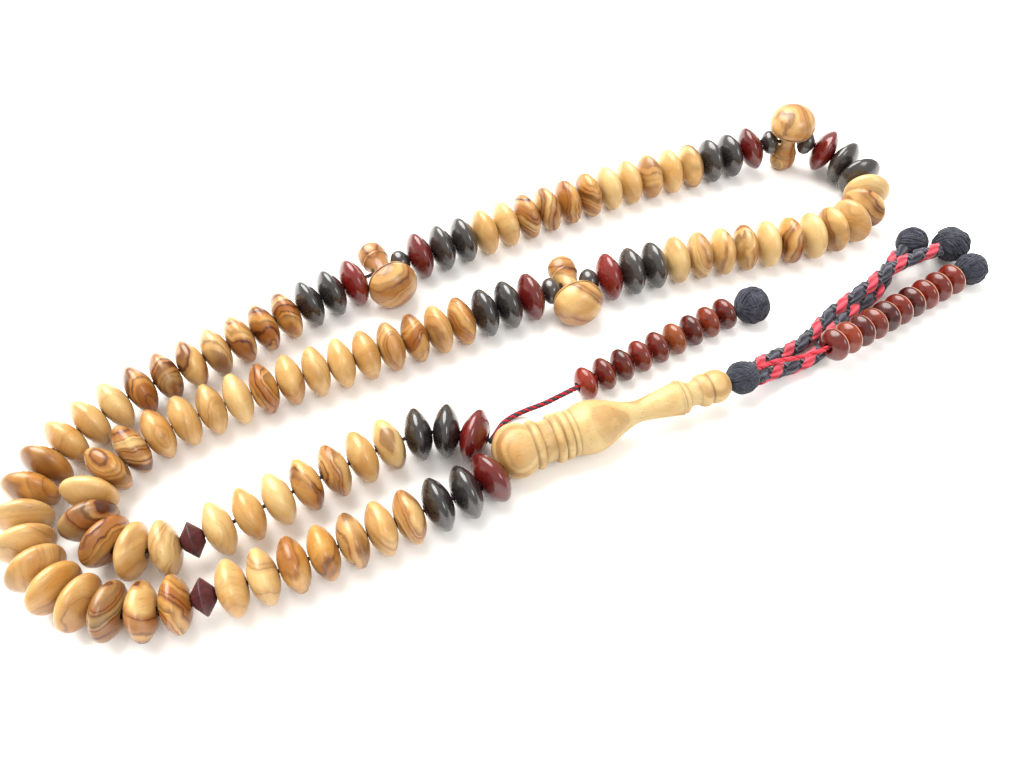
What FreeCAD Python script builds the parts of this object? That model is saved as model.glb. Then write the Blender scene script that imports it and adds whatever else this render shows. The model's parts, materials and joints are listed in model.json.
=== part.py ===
import FreeCAD, Part
import math
import os

# Misbaha prayer beads, lying on a table.
# Millimetres, +Z up. The origin is on the table under the middle of the whole layout.
# +X runs along the leader bead towards its tassel, +Y away from the reader.

Vector = FreeCAD.Vector

# ---- driving dimensions ------------------------------------------------------------
BEAD_DIAMETER = 12.0        # large saucer beads
BEAD_THICKNESS = 5.9
SPACER_DIAMETER = 6.6       # small beads beside the dividers
SPACER_THICKNESS = 4.3
MARKER_DIAMETER = 7.8       # sharp-edged bicone markers
MARKER_THICKNESS = 4.4
COUNTER_DIAMETER = 8.0      # beads of the two counter strings
COUNTER_THICKNESS = 4.6
BORE_DIAMETER = 2.2         # hole through every bead
WIDE = 0.5                  # free play in front of each bead of a group on the loop
LOOSE = 0.3
USUAL = 0.21
CLOSE = 0.1
BOSS_RADIUS = 1.0           # neighbours on a bend touch this far from the cord

CORD_DIAMETER = 1.0         # loop cord and counter cords
BRAID_DIAMETER = 3.6

BALL_RADIUS = 6.1           # big ball of the leader bead, which lies on the table
BALL_END = 5.2              # its centre to its flatter free end
LEADER_BORE = 3.4
STRAND_BORE = 2.8
STRAND_OFFSET = 0.6         # the two strands lie side by side in the leader bead
LEADER_LENGTH = 51.6        # from the ball's centre to the tail end

DIVIDER_HOLE_AT = 8.6       # cord hole, from the foot's end
DIVIDER_HEIGHT = 19.4
DIVIDER_HEAD_AT = 14.6      # widest circle of the head, from the foot's end
DIVIDER_HEAD_RADIUS = 6.2
DIVIDER_NECK_DIAMETER = 4.6
DIVIDER_BORE = 2.4

# The box round the whole layout is centred on the origin by this shift.
SHIFT = Vector(-7.497, 1.577, 0.0)

CORD_HEIGHT = BEAD_DIAMETER / 2
COUNTER_HEIGHT = COUNTER_DIAMETER / 2
RAISED = DIVIDER_HOLE_AT    # the loop cord rides up here, where one divider stands on its foot

# ---- layout, hand placed -------------------------------------------------------------
BALL_CENTRE = Vector(1.2, -33.8, BALL_RADIUS)
LEADER_ANGLE = 22.5         # the leader bead's axis, anticlockwise from +X

LOOP_ROUTE = [
    (-5.0, -30.9), (-13, -28.6), (-22.5, -30.6), (-36, -39), (-53, -50.5), (-62, -56.3), (-71.3, -59.8),
    (-79.0, -58.8), (-85.4, -53.2), (-87.2, -45.5), (-82.0, -36.4), (-70.8, -27.5), (-53, -17.5), (-33, -8.5),
    (-9, 4), (8, 12.5), (23, 17.5), (41, 24.5), (56, 28.5), (76, 33.5), (88.5, 39.5), (95, 49.5),
    (93.3, 60), (87.6, 66.6), (80.2, 68.8, RAISED), (69.5, 68.2, RAISED), (61.5, 66.0), (50, 61.0),
    (30, 53), (8, 41.5), (-14, 29), (-32, 19), (-47, 8.5), (-66, -7), (-86.2, -22.3), (-96.8, -35.9),
    (-99.9, -48.6), (-95.4, -61.0), (-85, -69.8), (-72, -72.9), (-55, -67.7), (-38, -59.5), (-14, -47),
    (-4.6, -41.7),
]
FIRST_BEAD_AT = 9.0         # cord length from the ball's centre to the first bead's centre

# What hangs on the loop, in order from the leader bead round and back to it:
# kind, how many, and the free play in front of each.
RED = [("red", 1, USUAL)]
BLACK = [("black", 2, USUAL)]
SPACER = [("spacer", 1, USUAL)]
DIVIDER = [("divider", 1, USUAL)]
LOOP_ORDER = (
    [("red", 1, CLOSE), ("black", 2, CLOSE), ("olive", 7, WIDE), ("marker", 1, CLOSE), ("olive", 20, CLOSE)]
    + BLACK + RED + SPACER + DIVIDER + SPACER
    + RED + BLACK + [("olive", 11, LOOSE)] + BLACK + RED + SPACER + DIVIDER + SPACER
    + RED + BLACK + [("olive", 11, LOOSE)] + BLACK + RED + SPACER + DIVIDER + [("bare", 1, USUAL)]
    + RED + BLACK + [("olive", 20, USUAL), ("marker", 1, CLOSE), ("olive", 7, USUAL)]
    + [("black", 2, WIDE), ("red", 1, CLOSE)]
)
THICKNESS = {
    "red": BEAD_THICKNESS,
    "black": BEAD_THICKNESS,
    "olive": BEAD_THICKNESS,
    "marker": MARKER_THICKNESS,
    "spacer": SPACER_THICKNESS,
    "divider": DIVIDER_NECK_DIAMETER + 0.6,
    "bare": 1.9,            # bare cord, where the head of a divider needs the room
}
# Each divider: which side of the cord its head lies on (+1 is the left of the run),
# how far the head is raised (degrees), and its lean along the cord (degrees).
DIVIDERS = [(-1, 2.0, 0.0), (-1, 90.0, 0.0), (1, 2.0, 0.0)]
# Black beads share nodes by place: near the leader bead, and round each divider.
BLACK_GROUPS = [
    "leader", "divider_1", "divider_1", "divider_2", "divider_2", "divider_3", "divider_3", "leader",
]

COLLAR_RADIUS = 3.95
COLLAR_GAP = 0.2
COLLAR_HEIGHT = 6.1

COUNTER_1_ROUTE = [
    (-4.3, -31.2, 5.6), (-3.9, -29.1, 3.6), (-3.1, -26.2, 1.7), (-2.1, -23.3, 0.6), (0.2, -21.1, 0.56),
    (3.4, -20.0, 1.6), (7.5, -19.7, COUNTER_HEIGHT), (57.3, 12.15, COUNTER_HEIGHT),
]
COUNTER_1_KNOT = (58.3, 10.9, 4.5)
COUNTER_2_ROUTE = [
    (55.6, -11.2, 7.3), (60.0, -7.9, 6.4), (64.4, -7.1, 6.4), (68.7, -6.3, 7.0), (73.3, -4.5, 7.7),
    (84.1, 3.3, 5.8), (97.0, 12.9, COUNTER_HEIGHT), (114.6, 24.6, COUNTER_HEIGHT),
]
COUNTER_2_KNOT = (116.0, 25.0, 4.5)
COUNTERS = [
    # route, number of beads, centre distance, first bead's distance from the cord's far end, knot, its radius
    (COUNTER_1_ROUTE, 9, 5.1, 7.1, COUNTER_1_KNOT, 4.5),
    (COUNTER_2_ROUTE, 10, 4.82, 5.25, COUNTER_2_KNOT, 4.0),
]
BRAID_1_ROUTE = [
    (56.0, -13.2, 4.5), (61.3, -9.9, 3.0), (66.2, -7.1, 1.8), (69.8, -4.9, 1.8), (72.6, -2.3, 1.8),
    (75.2, 0.6, 1.8), (78.9, 5.2, 1.8), (83.4, 9.6, 1.8), (87.2, 12.7, 1.8), (90.6, 16.6, 1.8),
    (93.2, 21.3, 1.8), (95.3, 25.4, 1.8), (97.6, 29.2, 2.1), (101.0, 32.6, 3.2),
]
BRAID_1_KNOT = (103.4, 34.6, 4.0)
BRAID_1_KNOT_RADIUS = 4.0
BRAID_2_ROUTE = [
    (54.9, -9.6, 5.3), (58.6, -6.4, 4.3), (62.8, -3.4, 2.9), (67.3, -0.4, 1.8), (71.6, 3.0, 1.8),
    (74.9, 7.0, 1.8), (78.3, 10.6, 2.4), (81.6, 12.9, 3.6), (85.4, 15.8, 4.4), (88.7, 18.2, 4.9),
    (92.2, 21.3, 5.5), (96.0, 24.2, 5.7), (100.2, 26.6, 5.7), (104.4, 28.8, 5.7), (109.2, 31.1, 5.2),
]
BRAID_2_KNOT = (112.9, 33.3, 5.0)
BRAID_2_KNOT_RADIUS = 4.7


def place(point):
    """A layout point as a vector in the part's frame; a missing height is the loop cord's height."""
    z = point[2] if len(point) > 2 else CORD_HEIGHT
    return Vector(point[0], point[1], z) + SHIFT


def unit(v):
    return Vector(v) * (1.0 / v.Length)


# ---- cords ----------------------------------------------------------------------------
def cord_path(points, name):
    """Straight runs joined by tangent arcs; prints each arc's radius."""
    edges = []
    radii = []
    last = points[0]
    for before, corner, after in zip(points, points[1:], points[2:]):
        run_in = corner - before
        run_out = after - corner
        turn = run_in.getAngle(run_out)
        reach = 0.45 * min(run_in.Length, run_out.Length)
        start = corner - unit(run_in) * reach
        end = corner + unit(run_out) * reach
        radius = reach / math.tan(turn / 2)
        inward = unit(unit(run_out) - unit(run_in))
        centre = corner + inward * (radius / math.cos(turn / 2))
        middle = centre - inward * radius
        if (start - last).Length > 1e-6:
            edges.append(Part.LineSegment(last, start).toShape())
        edges.append(Part.Arc(start, middle, end).toShape())
        radii.append(radius)
        last = end
    edges.append(Part.LineSegment(last, points[-1]).toShape())
    print(name, "arc radii:", " ".join("%.1f" % r for r in radii))
    return Part.Wire(edges)


def tube(path, diameter, name):
    """A round tube along the path; prints its volume against section times length."""
    start_edge = path.OrderedEdges[0]
    start = start_edge.valueAt(start_edge.FirstParameter)
    along = start_edge.tangentAt(start_edge.FirstParameter)
    section = Part.Wire(Part.makeCircle(diameter / 2, start, along))
    solid = path.makePipeShell([section], True, False)
    expected = math.pi * (diameter / 2) ** 2 * path.Length
    print(name, "length %.1f" % path.Length, "volume ratio %.4f" % (solid.Volume / expected))
    return solid


def along_path(path, distance):
    """The point and the direction at a distance along the path."""
    left = distance
    for edge in path.OrderedEdges:
        if left <= edge.Length:
            parameter = edge.getParameterByLength(left)
            return edge.valueAt(parameter), unit(edge.tangentAt(parameter))
        left -= edge.Length
    raise ValueError("the distance is past the end of the path")


# ---- turned shapes ----------------------------------------------------------------------
# A turned shape is drawn in the XZ plane (x is the radius, z runs along the axis) and revolved about Z.
def line(a, b):
    return Part.LineSegment(Vector(a[0], 0, a[1]), Vector(b[0], 0, b[1])).toShape()


def arc(a, through, b):
    ends = [Vector(p[0], 0, p[1]) for p in (a, through, b)]
    return Part.Arc(*ends).toShape()


def turned(edges):
    face = Part.Face(Part.Wire(edges))
    return face.revolve(Vector(0, 0, 0), Vector(0, 0, 1), 360)


def chained(points):
    """Straight edges through the points in turn."""
    return [line(a, b) for a, b in zip(points, points[1:])]


def lens_bead(diameter, thickness, rim):
    """A saucer bead: two bulging faces, a rounded rim, and a bore with small flats round it."""
    radius = diameter / 2
    half = thickness / 2
    bore = BORE_DIAMETER / 2
    flat = bore + 0.25
    edge = radius - 0.35 * rim
    bulge_at = 0.55 * radius
    bulge = half * 0.76
    return turned([
        line((bore, -half), (flat, -half)),
        arc((flat, -half), (bulge_at, -bulge), (edge, -rim)),
        arc((edge, -rim), (radius, 0), (edge, rim)),
        arc((edge, rim), (bulge_at, bulge), (flat, half)),
        line((flat, half), (bore, half)),
        line((bore, half), (bore, -half)),
    ])


def bicone_bead(diameter, thickness):
    """A marker: two straight cones meeting at a sharp rim."""
    half = thickness / 2
    bore = BORE_DIAMETER / 2
    flat = bore + 0.35
    rim = 0.15
    edge = diameter / 2
    corners = [(bore, -half), (flat, -half), (edge, -rim), (edge, rim), (flat, half), (bore, half)]
    return turned(chained(corners + [corners[0]]))


def divider():
    """A mushroom-shaped divider, cross-drilled at the neck.
    Its foot's end is at the origin and its head is up."""
    neck = DIVIDER_NECK_DIAMETER / 2
    head_at = DIVIDER_HEAD_AT
    head = DIVIDER_HEAD_RADIUS
    top = DIVIDER_HEIGHT
    crown = Part.BSplineCurve()
    crown.interpolate(
        [Vector(r, 0, z) for r, z in [(head, head_at), (5.4, 16.95), (3.2, 18.7), (0, top)]],
        InitialTangent=Vector(0, 0, 1),
        FinalTangent=Vector(-1, 0, 0),
    )
    foot = [
        line((0, 0), (1.9, 0)),
        arc((1.9, 0), (3.2, 1.2), (3.55, 2.8)),
        arc((3.55, 2.8), (3.5, 3.9), (3.15, 4.7)),
        line((3.15, 4.7), (3.45, 4.95)),
        line((3.45, 4.95), (3.3, 5.4)),
    ]
    stem = [
        arc((3.3, 5.4), (neck, DIVIDER_HOLE_AT), (3.1, 12.15)),
        line((3.1, 12.15), (5.5, 12.35)),
        line((5.5, 12.35), (5.7, 12.7)),
        line((5.7, 12.7), (5.5, 12.95)),
    ]
    upper = [
        arc((5.5, 12.95), (6.05, 13.7), (head, head_at)),
        crown.toShape(),
        line((0, top), (0, 0)),
    ]
    solid = turned(foot + stem + upper)
    side = Vector(-1.5 * head, 0, DIVIDER_HOLE_AT)
    hole = Part.makeCylinder(DIVIDER_BORE / 2, 3 * head, side, Vector(1, 0, 0))
    return solid.cut(hole)


def leader_bead():
    """The leader bead with the ball's centre at the origin and its tail along +Z."""
    ball = BALL_RADIUS
    bore = LEADER_BORE / 2
    neck_at = 3.35
    neck = math.sqrt(ball ** 2 - neck_at ** 2)
    end = LEADER_LENGTH
    vase = Part.BSplineCurve()
    vase_outline = [(5.1, 13.4), (5.95, 17.2), (4.9, 21.6), (2.65, 27.6), (2.75, 31.5), (3.9, 38.9)]
    vase.interpolate(
        [Vector(r, 0, z) for r, z in vase_outline],
        InitialTangent=Vector(0.6, 0, 1),
        FinalTangent=Vector(0.25, 0, 1),
    )
    flatter = Part.BSplineCurve()
    flatter.interpolate(
        [Vector(ball * math.sin(t), 0, -BALL_END * math.cos(t)) for t in (0, 0.4, 0.8, 1.2, math.pi / 2)],
        InitialTangent=Vector(1, 0, 0),
        FinalTangent=Vector(0, 0, 1),
    )
    body = [
        flatter.toShape(),
        arc((ball, 0), (ball * math.cos(0.3), ball * math.sin(0.3)), (neck, neck_at)),
        arc((neck, neck_at), (5.55, 4.3), (5.0, 5.3)),
        line((5.0, 5.3), (4.75, 5.8)),
        line((4.75, 5.8), (4.7, 8.2)),
        arc((4.7, 8.2), (5.65, 9.2), (4.85, 10.2)),
        arc((4.85, 10.2), (5.5, 11.2), (4.85, 12.2)),
        arc((4.85, 12.2), (5.35, 12.7), (5.1, 13.4)),
        vase.toShape(),
        arc((3.9, 38.9), (4.05, 39.2), (3.7, 39.45)),
        arc((3.7, 39.45), (3.85, 40.3), (3.2, 40.9)),
        arc((3.2, 40.9), (2.75, 42.4), (3.0, 43.8)),
        arc((3.0, 43.8), (3.75, 45.0), (3.55, 46.4)),
        line((3.55, 46.4), (3.35, 46.6)),
        arc((3.35, 46.6), (3.85, 48.7), (2.9, 50.9)),
        arc((2.9, 50.9), (2.5, 51.6), (bore, end)),
        line((bore, end), (0, end)),
        line((0, end), (0, -BALL_END)),
    ]
    solid = turned(body)
    hole = Part.makeCylinder(bore, end + 1, Vector(0, 0, 0), Vector(0, 0, 1))
    return solid.cut(hole)


# ---- placing ---------------------------------------------------------------------------
def stand(solid, centre, direction, twist_to=None):
    """Turns the solid's Z axis to a direction and moves its origin to the centre.
    twist_to is where the solid's X axis ends up, as far as the direction allows."""
    z = unit(direction)
    x = Vector(twist_to) if twist_to else (Vector(0, 0, 1).cross(z) if abs(z.z) < 0.9 else Vector(1, 0, 0))
    x = unit(x - z * x.dot(z))
    y = z.cross(x)
    matrix = FreeCAD.Matrix(
        x.x, y.x, z.x, centre.x,
        x.y, y.y, z.y, centre.y,
        x.z, y.z, z.z, centre.z,
        0, 0, 0, 1,
    )
    placed = solid.copy()
    placed.transformShape(matrix)
    return placed


nodes = {}                  # node name to its solids
axes = {}                   # node name to the point and direction of the cord through it


def add(node, solid, centre=None, direction=None):
    nodes.setdefault(node, []).append(solid)
    if centre is not None and node not in axes:
        axes[node] = (centre, direction)


def build_loop():
    """The loop cord, and everything that hangs on it."""
    leader_axis = Vector(math.cos(math.radians(LEADER_ANGLE)), math.sin(math.radians(LEADER_ANGLE)), 0)
    side = Vector(-leader_axis.y, leader_axis.x, 0) * STRAND_OFFSET
    ball = BALL_CENTRE + SHIFT
    tail = ball + leader_axis * (LEADER_LENGTH + COLLAR_GAP + 1.5)
    chamber = ball + leader_axis * 0.3
    inside = [tail + side, ball + leader_axis * 27 + side * 0.9, chamber + side]
    back = [chamber - side, ball + leader_axis * 27 - side * 0.9, tail - side]
    route = [place(p) for p in LOOP_ROUTE]
    path = cord_path(inside + route + back, "loop_cord")
    add("loop_cord", tube(path, CORD_DIAMETER, "loop_cord"))

    bead = lens_bead(BEAD_DIAMETER, BEAD_THICKNESS, 0.9)
    shapes = {
        "red": bead,
        "black": bead,
        "olive": bead,
        "marker": bicone_bead(MARKER_DIAMETER, MARKER_THICKNESS),
        "spacer": lens_bead(SPACER_DIAMETER, SPACER_THICKNESS, 0.7),
        "divider": divider(),
    }
    counts = dict.fromkeys(THICKNESS, 0)
    at = LEADER_LENGTH + COLLAR_GAP + 1.5 + FIRST_BEAD_AT
    previous = None
    for kind, many, play in LOOP_ORDER:
        counts[kind] += 1
        for _ in range(many):
            if previous:
                step = (THICKNESS[previous] + THICKNESS[kind]) / 2 + play
                turn = along_path(path, at)[1].getAngle(along_path(path, at + step)[1])
                at += step + BOSS_RADIUS * turn
            centre, direction = along_path(path, at)
            previous = kind
            if kind == "bare":
                continue
            if kind == "divider":
                add_divider(counts[kind], shapes[kind], centre, direction)
            else:
                add(node_name(kind, counts[kind]), stand(shapes[kind], centre, direction), centre, direction)
    print("last bead ends %.1f short of the cord's end" % (path.Length - at))

    leader = stand(leader_bead(), ball, leader_axis)
    leader = leader.cut(Part.makeSphere(LEADER_BORE / 2 + 0.3, ball))
    for toward in (route[0], route[-1]):
        way = unit(toward - ball)
        leader = leader.cut(Part.makeCylinder(STRAND_BORE / 2, 2 * BALL_RADIUS, ball, way))
    add("leader_bead", leader)
    collar = tail - leader_axis * 1.5 + leader_axis * COLLAR_RADIUS
    collar.z = COLLAR_HEIGHT
    return collar


def node_name(kind, number):
    if kind == "black":
        return "black_beads_" + BLACK_GROUPS[number - 1]
    if kind == "olive":
        return "olive_beads_%d" % number
    return "%s_bead_%d" % (kind, number)


def add_divider(number, shape, centre, direction):
    """Puts a divider's cord hole on the cord, with its head turned and leaned as stated."""
    side, raised, lean = DIVIDERS[number - 1]
    level = unit(Vector(-direction.y, direction.x, 0)) * side
    up = unit(direction.cross(level) if side > 0 else level.cross(direction))
    head = level * math.cos(math.radians(raised)) + up * math.sin(math.radians(raised))
    head = unit(head * math.cos(math.radians(lean)) + direction * math.sin(math.radians(lean)))
    foot_end = centre - head * DIVIDER_HOLE_AT
    add("divider_%d" % number, stand(shape, foot_end, head, direction), centre, direction)


def build_counters():
    """The two counter strings: cord, beads and end knot."""
    bead = lens_bead(COUNTER_DIAMETER, COUNTER_THICKNESS, 0.7)
    for number, (route, many, pitch, first, knot, knot_radius) in enumerate(COUNTERS, 1):
        name = "counter_%d" % number
        path = cord_path([place(p) for p in route], name + "_cord")
        add(name + "_cord", tube(path, CORD_DIAMETER, name + "_cord"))
        for index in range(many):
            centre, direction = along_path(path, path.Length - first - pitch * index)
            node = "%s_bead_%d" % (name, index + 1)
            add(node, stand(bead, centre, direction), centre, direction)
        add(name + "_knot", Part.makeSphere(knot_radius, place(knot)))


def build_braids(collar):
    """The two braids out of the collar knot, each with its end knot."""
    add("collar_knot", Part.makeSphere(COLLAR_RADIUS, collar))
    braids = [
        (BRAID_1_ROUTE, BRAID_1_KNOT, BRAID_1_KNOT_RADIUS),
        (BRAID_2_ROUTE, BRAID_2_KNOT, BRAID_2_KNOT_RADIUS),
    ]
    for number, (route, knot, radius) in enumerate(braids, 1):
        name = "braid_%d" % number
        path = cord_path([place(p) for p in route], name)
        add(name, tube(path, BRAID_DIAMETER, name))
        add(name + "_knot", Part.makeSphere(radius, place(knot)))


collar_centre = build_loop()
build_counters()
build_braids(collar_centre)

os.makedirs("parts", exist_ok=True)
for node, solids in nodes.items():
    shape = solids[0] if len(solids) == 1 else Part.makeCompound(solids)
    shape.exportStep("parts/%s.step" % node)
whole = Part.makeCompound([s for solids in nodes.values() for s in solids]).BoundBox
print(len(nodes), "nodes; box x %.2f %.2f y %.2f %.2f z %.2f %.2f"
      % (whole.XMin, whole.XMax, whole.YMin, whole.YMax, whole.ZMin, whole.ZMax))
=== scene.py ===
import json
import math
import random

import bmesh
import bpy
import numpy as np
from mathutils import Matrix, Vector


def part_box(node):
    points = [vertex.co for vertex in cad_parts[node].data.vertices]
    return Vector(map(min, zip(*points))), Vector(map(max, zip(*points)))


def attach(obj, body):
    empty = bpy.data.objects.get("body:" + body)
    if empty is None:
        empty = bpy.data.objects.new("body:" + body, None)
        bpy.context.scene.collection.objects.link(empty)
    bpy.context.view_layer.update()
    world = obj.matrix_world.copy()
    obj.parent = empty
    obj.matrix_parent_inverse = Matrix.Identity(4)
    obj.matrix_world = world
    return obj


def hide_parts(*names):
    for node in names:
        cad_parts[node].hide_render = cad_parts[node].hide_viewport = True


# Misbaha prayer beads on a white table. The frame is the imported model's: metres, +Z up.
# Sizes below are in millimetres, and laid() turns a point of the layout into the frame's metres.

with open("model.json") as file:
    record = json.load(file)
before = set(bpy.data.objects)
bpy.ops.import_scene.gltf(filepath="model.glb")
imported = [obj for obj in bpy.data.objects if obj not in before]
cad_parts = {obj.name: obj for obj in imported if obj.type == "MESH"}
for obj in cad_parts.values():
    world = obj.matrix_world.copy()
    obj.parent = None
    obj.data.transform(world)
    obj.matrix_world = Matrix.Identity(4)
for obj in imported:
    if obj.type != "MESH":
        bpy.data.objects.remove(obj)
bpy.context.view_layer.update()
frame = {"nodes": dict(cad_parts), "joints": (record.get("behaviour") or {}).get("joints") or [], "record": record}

MM = 0.001
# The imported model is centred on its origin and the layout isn't: SHIFT is the way between them.
SHIFT = Vector((-7.497, 1.577, 0.0))
# Heights of the cord's middle above the table: in the large beads, in the counter beads,
# and where the standing divider lifts it.
CORD_HEIGHT = 6.0
COUNTER_HEIGHT = 4.0
RAISED = 8.6


def laid(x, y, z=CORD_HEIGHT):
    return (Vector((x, y, z)) + SHIFT) * MM


# ---- camera ------------------------------------------------------------------------------------
CAMERA_AT = (0.0, -138.0, 172.64)
CAMERA_LENS = 32.06
DOWN_DEGREES = 53.78
ROLL_DEGREES = 1.44
camera_data = bpy.data.cameras.new("camera")
camera_data.sensor_width = 36.0
camera_data.lens = CAMERA_LENS
camera_data.clip_start = 0.01
camera_data.clip_end = 20.0
camera = bpy.data.objects.new("camera", camera_data)
bpy.context.collection.objects.link(camera)
look_down = Matrix.Rotation(math.radians(90 - DOWN_DEGREES), 4, "X")
roll = Matrix.Rotation(math.radians(ROLL_DEGREES), 4, "Z")
camera.matrix_world = Matrix.Translation(laid(*CAMERA_AT)) @ look_down @ roll
bpy.context.scene.camera = camera

# ---- routes ------------------------------------------------------------------------------------
# Control points of the cords. They are those of the CAD model, but for counter string 1, which has
# one more beside its corner, and the braids, whose points lie up to 2 mm from the model's.
# The leader bead lies along LEADER_ANGLE, in degrees, from the centre of the ball at its big end.
# BALL_END is how far the ball goes on past its centre, and the mouths are where the loop comes out.
LEADER_ANGLE = 22.5
LEADER_LENGTH = 51.6
BALL = (1.2, -33.8, 6.1)
BALL_RADIUS = 6.1
BALL_END = 5.2
MOUTH_RADIUS = 1.4
LOOP_ROUTE = [
    (-5.0, -30.9), (-13, -28.6), (-22.5, -30.6), (-36, -39), (-53, -50.5), (-62, -56.3),
    (-71.3, -59.8), (-79.0, -58.8), (-85.4, -53.2), (-87.2, -45.5), (-82.0, -36.4), (-70.8, -27.5),
    (-53, -17.5), (-33, -8.5), (-9, 4), (8, 12.5), (23, 17.5), (41, 24.5),
    (56, 28.5), (76, 33.5), (88.5, 39.5), (95, 49.5), (93.3, 60), (87.6, 66.6),
    (80.2, 68.8, RAISED), (69.5, 68.2, RAISED), (61.5, 66.0), (50, 61.0), (30, 53), (8, 41.5),
    (-14, 29), (-32, 19), (-47, 8.5), (-66, -7), (-86.2, -22.3), (-96.8, -35.9),
    (-99.9, -48.6), (-95.4, -61.0), (-85, -69.8), (-72, -72.9), (-55, -67.7), (-38, -59.5),
    (-14, -47), (-4.6, -41.7),
]
COUNTER_1_ROUTE = [
    (-4.3, -31.2, 5.6), (-3.9, -29.1, 3.6), (-3.1, -26.2, 1.7), (-2.1, -23.3, 0.6), (0.2, -21.1, 0.56),
    (3.4, -20.0, 1.6), (7.5, -19.7, COUNTER_HEIGHT), (10.0, -18.1, COUNTER_HEIGHT),
    (57.3, 12.15, COUNTER_HEIGHT),
]
COUNTER_2_ROUTE = [
    (55.6, -11.2, 7.3), (60.0, -7.9, 6.4), (64.4, -7.1, 6.4), (68.7, -6.3, 7.0), (73.3, -4.5, 7.7),
    (84.1, 3.3, 5.8), (97.0, 12.9, COUNTER_HEIGHT), (114.6, 24.6, COUNTER_HEIGHT),
]
BRAID_1_ROUTE = [
    (56.0, -12.1, 5.2), (61.3, -8.7, 3.7), (66.2, -6.1, 2.4), (69.8, -4.2, 2.2), (72.6, -2.2, 2.2),
    (75.0, 0.8, 2.2), (78.0, 5.9, 2.2), (82.3, 10.8, 2.2), (86.1, 13.8, 2.2), (90.1, 17.0, 2.2),
    (93.2, 21.2, 2.2), (95.3, 25.3, 2.2), (97.6, 29.2, 2.4), (101.0, 32.6, 3.2),
]
BRAID_2_ROUTE = [
    (54.9, -9.6, 5.3), (58.6, -6.4, 4.3), (62.8, -3.4, 2.9), (67.3, -0.5, 2.2), (71.6, 2.9, 2.2),
    (74.9, 6.9, 2.2), (78.3, 10.6, 2.6), (81.6, 12.9, 3.6), (85.4, 15.8, 4.4), (88.7, 18.2, 4.9),
    (92.2, 21.3, 5.5), (96.0, 24.2, 5.7), (100.2, 26.6, 5.7), (104.4, 28.8, 5.7), (109.2, 31.1, 5.2),
]


def route_line(points, fineness=32):
    """The smooth line of a NURBS spline with these control points, as Blender makes it."""
    curve = bpy.data.curves.new("route", "CURVE")
    curve.dimensions = "3D"
    spline = curve.splines.new("NURBS")
    spline.points.add(len(points) - 1)
    for control, point in zip(spline.points, points):
        control.co = (*point, 1.0)
    spline.order_u = 3
    spline.use_endpoint_u = True
    spline.resolution_u = fineness
    holder = bpy.data.objects.new("route", curve)
    mesh = bpy.data.meshes.new_from_object(holder)
    line = np.array([tuple(v.co) for v in mesh.vertices])
    bpy.data.meshes.remove(mesh)
    bpy.data.objects.remove(holder)
    bpy.data.curves.remove(curve)
    return line


def run_along(line):
    """How far along the line each of its points is."""
    return np.concatenate([[0.0], np.cumsum(np.linalg.norm(np.diff(line, axis=0), axis=1))])


def tangents_of(line):
    tangents = np.gradient(line, axis=0)
    return tangents / np.linalg.norm(tangents, axis=1)[:, None]


def carried_frames(line):
    """Two directions square to the line at each point, carried along it without twisting."""
    tangents = tangents_of(line)
    first = np.cross(tangents[0], [0.0, 0.0, 1.0])
    first /= np.linalg.norm(first)
    firsts = [first]
    for t in tangents[1:]:
        carried = firsts[-1] - t * np.dot(firsts[-1], t)
        firsts.append(carried / np.linalg.norm(carried))
    firsts = np.array(firsts)
    return firsts, np.cross(tangents, firsts)


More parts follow.
